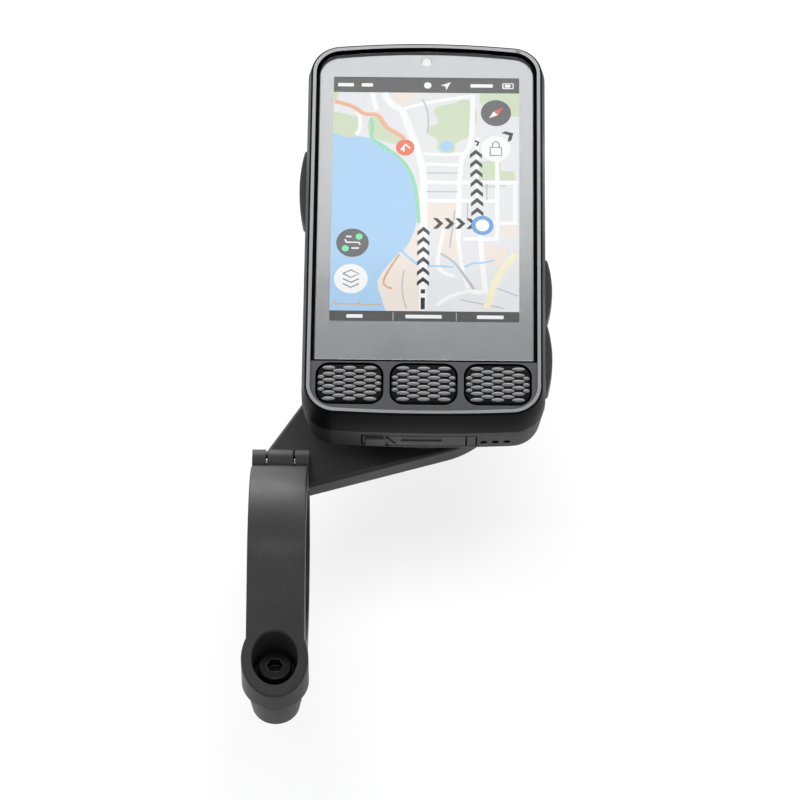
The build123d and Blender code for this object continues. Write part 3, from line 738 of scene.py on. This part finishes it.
def ribbons(name, runs, rise, finish, smooth=True):
    """Flat bands along several lines; each run is a width and its points."""
    curve = bpy.data.curves.new(name, "CURVE")
    curve.dimensions = "3D"
    curve.bevel_depth = 1.0
    curve.bevel_resolution = 0
    curve.use_fill_caps = True
    curve.resolution_u = 6
    for width, points in runs:
        line = curve.splines.new("NURBS" if smooth and len(points) > 2 else "POLY")
        line.points.add(len(points) - 1)
        for point, (across, up) in zip(line.points, points):
            point.co = (*spot(across, up), 1)
            point.radius = width / 2 * MM
        if line.type == "NURBS":
            line.order_u = 3
            line.use_endpoint_u = True
    piece = bpy.data.objects.new(name, curve)
    bpy.context.scene.collection.objects.link(piece)
    only(piece)
    bpy.ops.object.convert(target="MESH")
    piece.scale.z = band_flatness
    piece.location.z = panel_high.z + rise * layer
    settle(piece, name)
    dress(piece, finish)
    return piece


def show(piece):
    """Mount a part of the picture on the computer."""
    fit(piece, "computer", "display_face")


land = lit("map_land", 237, 237, 240)
water = lit("map_water", 176, 215, 249)
green = lit("map_green", 212, 226, 196)
beige = lit("map_beige", 246, 235, 226)
white = lit("map_white", 254, 254, 255)
grey_road = lit("map_grey", 196, 198, 204)
glyph_grey = lit("glyph_grey", 140, 142, 148)
orange = lit("map_orange", 246, 182, 150)
coral = lit("map_coral", 244, 122, 92)
mint = lit("map_mint", 160, 226, 184)
butter = lit("map_butter", 252, 246, 212)
tan = lit("map_tan", 226, 178, 140)
ink = lit("screen_ink", 50, 50, 54)
bar_grey = lit("screen_bar", 88, 88, 88)
disc_grey = lit("screen_disc", 100, 100, 102)
blue = lit("screen_blue", 104, 164, 224)
spring_green = lit("screen_spring_green", 130, 236, 186)
needle_red = lit("screen_red", 238, 96, 88)

show(flat_shape("map_ground", box_outline(0, map_foot, screen_width, map_top), 1, land))
show(flat_shape("status_bar", box_outline(0, map_top, screen_width, screen_height), 1, bar_grey))
show(flat_shape("key_bar", box_outline(0, 0, screen_width, map_foot), 1, bar_grey))

lake = [(0, 45.9), (5.2, 45.2), (10.0, 43.9), (13.8, 40.4), (16.6, 36.2), (18.1, 30.4), (18.0, 23.7),
        (16.2, 18.4), (12.6, 14.2), (10.2, 9.6), (11.0, 5.2), (11.8, map_foot), (0, map_foot)]
show(flat_shape("map_lake", lake, 2, water, rounded=True))

blocks = [
    [(9.9, 9.7), (14.7, 17.0), (17.4, 14.4), (19.3, 13.8), (19.3, 2.7), (11.9, 2.7)],
    [(16.4, 18.6), (18.2, 23.4), (19.0, 23.4), (19.0, 15.0), (15.6, 17.6)],
    [(20.5, 22.8), (20.5, 28.8), (27.0, 28.8), (27.0, 22.8)],
    [(22.4, 16.8), (22.4, 22.2), (27.6, 22.2), (27.6, 15.4)],
    [(36.2, 20.4), (36.2, 23.4), (39.5, 23.4), (39.5, 20.4)],
    [(12.4, 53.6), (12.8, 56.1), (17.4, 56.1), (16.8, 53.2)],
    [(31.4, 14.6), (32.0, 19.2), (37.8, 17.8), (36.0, 13.2)],
]
for number, outline in enumerate(blocks):
    blocks[number] = flat_shape("block", outline, 3, beige)
show(join(blocks, "map_blocks"))

parks = [
    ([(0, 51.2), (3.0, 50.6), (5.9, 49.2), (5.6, 47.0), (4.8, 45.2), (0, 45.9)], True),
    ([(21.8, 52.0), (25.2, 53.4), (29.2, 54.2), (29.3, 45.6), (26.4, 43.6), (25.9, 41.4), (22.8, 41.6),
      (22.2, 44.6), (20.6, 45.8), (20.9, 47.8), (22.4, 48.6)], True),
    ([(31.6, 56.2), (31.4, 54.2), (34.2, 51.6), (39.9, 50.2), (39.9, 56.2)], True),
    ([(33.6, 39.4), (36.0, 38.8), (36.0, 36.8), (38.9, 36.8), (38.9, 34.6), (31.2, 34.6),
      (31.2, 39.0)], False),
    ([(7.6, 46.4), (8.6, 50.0), (10.6, 49.4), (12.6, 46.6), (15.4, 44.4), (10.2, 44.2)], True),
    ([(32.2, 32.6), (37.0, 32.9), (37.0, 33.4), (32.2, 33.4)], False),
    ([(0, 54.0), (0, 56.2), (1.0, 56.2), (0.9, 54.4)], False),
]
parks = [flat_shape("park", outline, 4, green, rounded) for outline, rounded in parks]
show(join(parks, "map_parks"))
show(flat_shape("map_pond", [(23.0, 43.2), (24.6, 44.2), (25.8, 43.0), (25.0, 41.6), (23.4, 41.8)], 5, water,
                rounded=True))

streets = [
    (1.5, [(10.8, 56.0), (12.0, 53.0), (14.6, 51.8)]),
    (1.1, [(8.3, 56.0), (8.8, 53.0), (9.4, 51.6)]),
    (1.6, [(14.8, 51.8), (16.6, 46.4), (18.9, 39.6), (19.5, 35.6), (19.6, 30.0), (19.6, 2.9)]),
    (1.1, [(29.9, 56.0), (29.9, 44.4), (28.6, 41.4), (27.0, 39.0), (27.0, 20.0)]),
    (0.8, [(14.8, 51.9), (19.0, 53.8), (29.9, 55.4)]),
    (0.8, [(19.6, 41.0), (24.0, 40.4), (28.4, 41.2)]),
    (0.8, [(19.8, 38.4), (27.0, 38.2)]),
    (0.9, [(19.6, 33.9), (39.6, 33.9)]),
    (0.9, [(19.6, 29.4), (35.4, 29.4)]),
    (0.8, [(28.0, 20.1), (35.4, 20.1)]),
    (0.9, [(35.2, 39.2), (35.2, 20.1)]),
    (0.8, [(30.9, 45.0), (30.9, 30.0)]),
    (0.8, [(31.6, 24.0), (39.6, 24.0)]),
    (0.8, [(39.0, 33.6), (39.0, 24.0)]),
    (1.1, [(31.4, 24.0), (32.0, 15.6), (32.8, 7.0)]),
    (1.1, [(30.0, 7.2), (33.4, 7.4)]),
    (0.8, [(22.6, 4.0), (25.4, 7.0), (30.2, 7.6)]),
    (0.8, [(24.0, 22.6), (22.8, 17.4), (22.6, 11.6), (26.4, 11.0)]),
    (0.8, [(27.0, 20.2), (27.6, 12.0), (29.2, 8.2)]),
    (0.8, [(5.2, 52.0), (6.6, 46.8), (4.8, 45.6)]),
]
show(ribbons("map_streets", streets, 6, white))
side_roads = [
    (0.35, [(19.0, 54.6), (21.0, 51.4), (20.2, 46.0)]),
    (0.35, [(23.2, 16.6), (26.2, 14.6), (28.2, 11.0), (30.2, 8.0)]),
    (0.35, [(26.2, 27.0), (25.2, 18.0)]),
    (0.30, [(15.6, 12.4), (14.6, 7.6), (16.2, 3.2)]),
    (0.30, [(27.4, 5.4), (36.8, 3.4)]),
    (0.30, [(34.4, 8.6), (39.6, 6.4)]),
    (0.30, [(20.2, 31.6), (26.8, 31.6)]),
    (0.30, [(20.2, 36.2), (26.8, 36.2)]),
    (0.30, [(33.0, 33.6), (33.0, 29.6)]),
    (0.30, [(28.9, 29.0), (28.9, 24.4)]),
]
show(ribbons("map_lanes", side_roads, 7, grey_road))
show(ribbons("map_creek", [
    (0.55, [(14.6, 17.6), (16.4, 15.4), (18.4, 13.8)]),
    (0.45, [(20.4, 13.4), (23.4, 13.6), (26.0, 13.2)]),
    (0.45, [(28.4, 13.2), (30.0, 14.4), (32.2, 14.2), (34.6, 15.0)]),
], 7, water))
show(ribbons("map_shore_edge", [(0.45, [(14.6, 16.2), (10.6, 9.8), (12.2, 8.0), (13.2, 8.0)])], 7, tan))
show(ribbons("map_shore_path", [
    (0.75, [(8.1, 49.8), (8.6, 47.4), (7.9, 44.9), (10.6, 42.6), (13.9, 40.6), (16.8, 36.6), (18.2, 31.0),
            (18.6, 23.9)])], 8, mint))
show(ribbons("map_ride_road", [
    (0.95, [(0.2, 53.8), (4.2, 52.9), (6.6, 50.4), (9.8, 50.8), (11.2, 47.4), (13.8, 46.0), (15.4, 44.6)])],
    8, orange))
show(ribbons("map_high_road", [(1.5, [(39.2, 16.6), (36.2, 12.6), (34.2, 8.0), (33.0, 3.4)])], 8, butter))
show(ribbons("map_railway", [
    (0.5, [(23.4, 16.4), (26.0, 14.9), (28.4, 11.2), (30.4, 8.0)])], 8, grey_road))

# route chevrons, made once and copied along the route
chevron_width = 1.3
chevron_rise = 1.0
chevron_bar = 0.95


def chevron_outline(across, up, turn):
    """An open arrow head that points up before it is turned."""
    corners = [(-chevron_width, -chevron_rise), (0, 0.15), (chevron_width, -chevron_rise),
               (chevron_width, -chevron_rise + chevron_bar), (0, 0.15 + chevron_bar + 0.1),
               (-chevron_width, -chevron_rise + chevron_bar)]
    return [(across + x * cos(turn) - y * sin(turn), up + x * sin(turn) + y * cos(turn)) for x, y in corners]


marks = [(19.6, 9.6 + 2.44 * i, 0) for i in range(6)]
marks += [(22.6 + 2.35 * i, 23.8, -pi / 2) for i in range(4)]
marks += [(31.0 - 0.06 * i, 26.6 + 2.38 * i, 0) for i in range(7)]
marks += [(37.6, 45.6, radians(-60))]
marks = [flat_shape("mark", chevron_outline(*mark), 9, ink) for mark in marks]
marks += [ribbons("trail", [(0.9, [(19.6, 3.0), (19.6, 5.8)]), (0.9, [(19.6, 6.8), (19.6, 7.8)]),
                            (0.5, [(30.8, 43.0), (31.2, 43.9), (30.4, 44.2)])], 9, ink, smooth=False)]
show(join(marks, "route_marks"))


def disc(name, across, up, radius, rise, finish):
    """A round plate."""
    return flat_shape(name, circle_outline(across, up, radius), rise, finish)


show(disc("place_marker", 15.5, 42.4, 2.0, 9, coral))
show(ribbons("place_glyph", [(0.45, [(14.6, 41.8), (15.6, 43.2), (16.5, 42.2)]),
                             (0.40, [(15.2, 41.4), (15.2, 42.4)])], 10, white, smooth=False))
show(disc("position_ring", 32.1, 23.4, 2.35, 10, blue))
show(disc("position_centre", 32.1, 23.4, 1.45, 11, white))
show(disc("compass_disc", 34.9, 51.2, 3.25, 9, disc_grey))
show(flat_shape("needle_south", [(33.4, 49.9), (35.3, 50.7), (34.4, 51.6)], 10, white))
show(flat_shape("needle_north", [(36.5, 52.7), (35.3, 50.7), (34.4, 51.6)], 10, needle_red))
show(disc("lock_disc", 34.9, 42.3, 3.15, 10, white))
lock_body = [(33.7, 40.6), (36.1, 40.6), (36.1, 42.6), (33.7, 42.6)]
show(ribbons("lock_glyph", [
    (0.28, [*lock_body, lock_body[0]]),
    (0.28, [(34.2, 42.7), (34.2, 43.6), (34.9, 44.2), (35.6, 43.6), (35.6, 42.7)])], 11, glyph_grey,
    smooth=False))
show(disc("track_disc", 4.6, 18.9, 3.45, 9, disc_grey))
show(ribbons("track_glyph", [
    (0.36, [(3.2, 20.4), (4.4, 20.4)]), (0.36, [(3.0, 19.7), (3.3, 19.0), (6.0, 19.0), (6.2, 18.4)]),
    (0.36, [(4.4, 17.6), (6.0, 17.6)])], 10, white, smooth=False))
dots = [disc("dot", 6.0, 20.4, 0.75, 10, spring_green), disc("dot", 3.1, 17.5, 0.75, 10, spring_green)]
show(join(dots, "track_dots"))
show(disc("layers_disc", 4.4, 10.2, 3.55, 9, white))
show(ribbons("layers_glyph", [
    (0.3, [(2.7, 11.4), (4.4, 12.3), (6.1, 11.4), (4.4, 10.5), (2.7, 11.4)]),
    (0.3, [(2.7, 10.2), (4.4, 9.3), (6.1, 10.2)]), (0.3, [(2.7, 9.0), (4.4, 8.1), (6.1, 9.0)])], 10,
    glyph_grey, smooth=False))
show(ribbons("scale_bar", [(0.3, [(1.0, 4.1), (10.8, 4.1)]), (0.3, [(1.0, 4.1), (1.0, 4.9)]),
                           (0.3, [(6.2, 4.1), (6.2, 4.9)])], 9, tan, smooth=False))

# plain bars and signs in the two dark strips
strip_top = (map_top + screen_height) / 2
bars = [(0.9, strip_top, 3.4), (6.0, strip_top, 2.4), (29.4, strip_top, 4.8), (3.6, map_foot / 2, 3.4),
        (16.0, map_foot / 2, 7.6), (31.0, map_foot / 2, 5.6)]
bars = [flat_shape("bar", box_outline(left, up - 0.42, left + width, up + 0.42), 2, white)
        for left, up, width in bars]
bars += [
    flat_shape("arrow", [(23.0, strip_top), (25.2, strip_top + 0.9), (24.2, strip_top - 1.2),
                         (24.0, strip_top - 0.2)], 2, white),
    ribbons("cell", [(0.3, [(36.4, strip_top - 0.6), (38.6, strip_top - 0.6), (38.6, strip_top + 0.6),
                            (36.4, strip_top + 0.6), (36.4, strip_top - 0.6)])], 2, white, smooth=False),
    flat_shape("charge", box_outline(36.8, strip_top - 0.35, 38.0, strip_top + 0.35), 3, white),
    disc("signal", 20.2, strip_top, 0.8, 2, white),
]
show(join(bars, "strip_signs"))
splits = [flat_shape("split", box_outline(across, 0.3, across + 0.15, map_foot - 0.3), 2, grey_road)
          for across in (13.3, 26.6)]
show(join(splits, "key_splits"))

# ---------------------------------------------------------------- studio
low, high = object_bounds()
middle = (low + high) / 2
floor_gap = 45


def studio_floor():
    """Plain pale floor, well below the part."""
    bpy.ops.object.select_all(action="DESELECT")
    bpy.ops.mesh.primitive_grid_add(x_subdivisions=4, y_subdivisions=4, size=8,
                                    location=(0, 0, low.z - floor_gap * MM))
    floor = bpy.context.object
    floor.name = "studio_floor"
    material = bpy.data.materials.new("pale_floor")
    material.use_nodes = True
    tree = material.node_tree
    shader = tree.nodes["Principled BSDF"]
    place = put(tree, "ShaderNodeTexCoord").outputs["Object"]
    mottle = put(tree, "ShaderNodeTexNoise", {"Vector": place, "Scale": 3.0, "Detail": 3.0})
    tone = put(tree, "ShaderNodeMix", {0: mottle.outputs["Fac"], 6: (0.88, 0.88, 0.88, 1),
                                       7: (0.91, 0.91, 0.91, 1)}, data_type="RGBA")
    tree.links.new(tone.outputs[2], shader.inputs["Base Color"])
    shader.inputs["Roughness"].default_value = 0.9
    shader.inputs["Specular IOR Level"].default_value = 0.0
    floor.data.materials.append(material)


def softbox(name, place, aim, width, height, brightness):
    """A soft rectangular lamp that shines evenly from its whole face."""
    lamp = bpy.data.lights.new(name, "AREA")
    lamp.shape = "RECTANGLE"
    lamp.size = width
    lamp.size_y = height
    lamp.energy = brightness * pi * width * height
    holder = bpy.data.objects.new(name, lamp)
    bpy.context.scene.collection.objects.link(holder)
    holder.location = place
    holder.rotation_mode = "QUATERNION"
    holder.rotation_quaternion = (Vector(aim) - Vector(place)).to_track_quat("-Z", "Y")


studio_floor()
softbox("screen_panel", (0.03, 0.966, 1.243), glass_high, 1.3, 0.4, 1.15)
softbox("front_softbox", (0.03, 1.50, 0.44), middle, 2.0, 0.66, 9.0)
softbox("top_softbox", (0.03, -0.15, 1.60), middle, 0.8, 0.5, 5.0)
softbox("left_strip", (-0.95, 0.05, 0.65), middle, 0.9, 0.35, 4.0)
softbox("right_strip", (1.0, 0.05, 0.65), middle, 0.9, 0.35, 4.0)
softbox("rider_fill", (0.0, -1.2, 0.55), middle, 0.8, 0.4, 0.8)

world = bpy.data.worlds.new("studio")
bpy.context.scene.world = world
world.use_nodes = True
sky = world.node_tree.nodes["Background"]
sky.inputs["Color"].default_value = (1.0, 1.0, 1.0, 1.0)
sky.inputs["Strength"].default_value = 0.26

camera = bpy.data.objects.new("camera", bpy.data.cameras.new("camera"))
bpy.context.scene.collection.objects.link(camera)
camera.location = (30.2 * MM, -427.5 * MM, 892.8 * MM)
aim = Vector((25.0 * MM, 38.0 * MM, 3.0 * MM))
camera.rotation_mode = "QUATERNION"
camera.rotation_quaternion = (aim - camera.location).to_track_quat("-Z", "Y")
camera.data.lens = 212
camera.data.clip_start = 0.05
camera.data.clip_end = 20
bpy.context.scene.camera = camera
bpy.context.scene.view_settings.view_transform = "Standard"
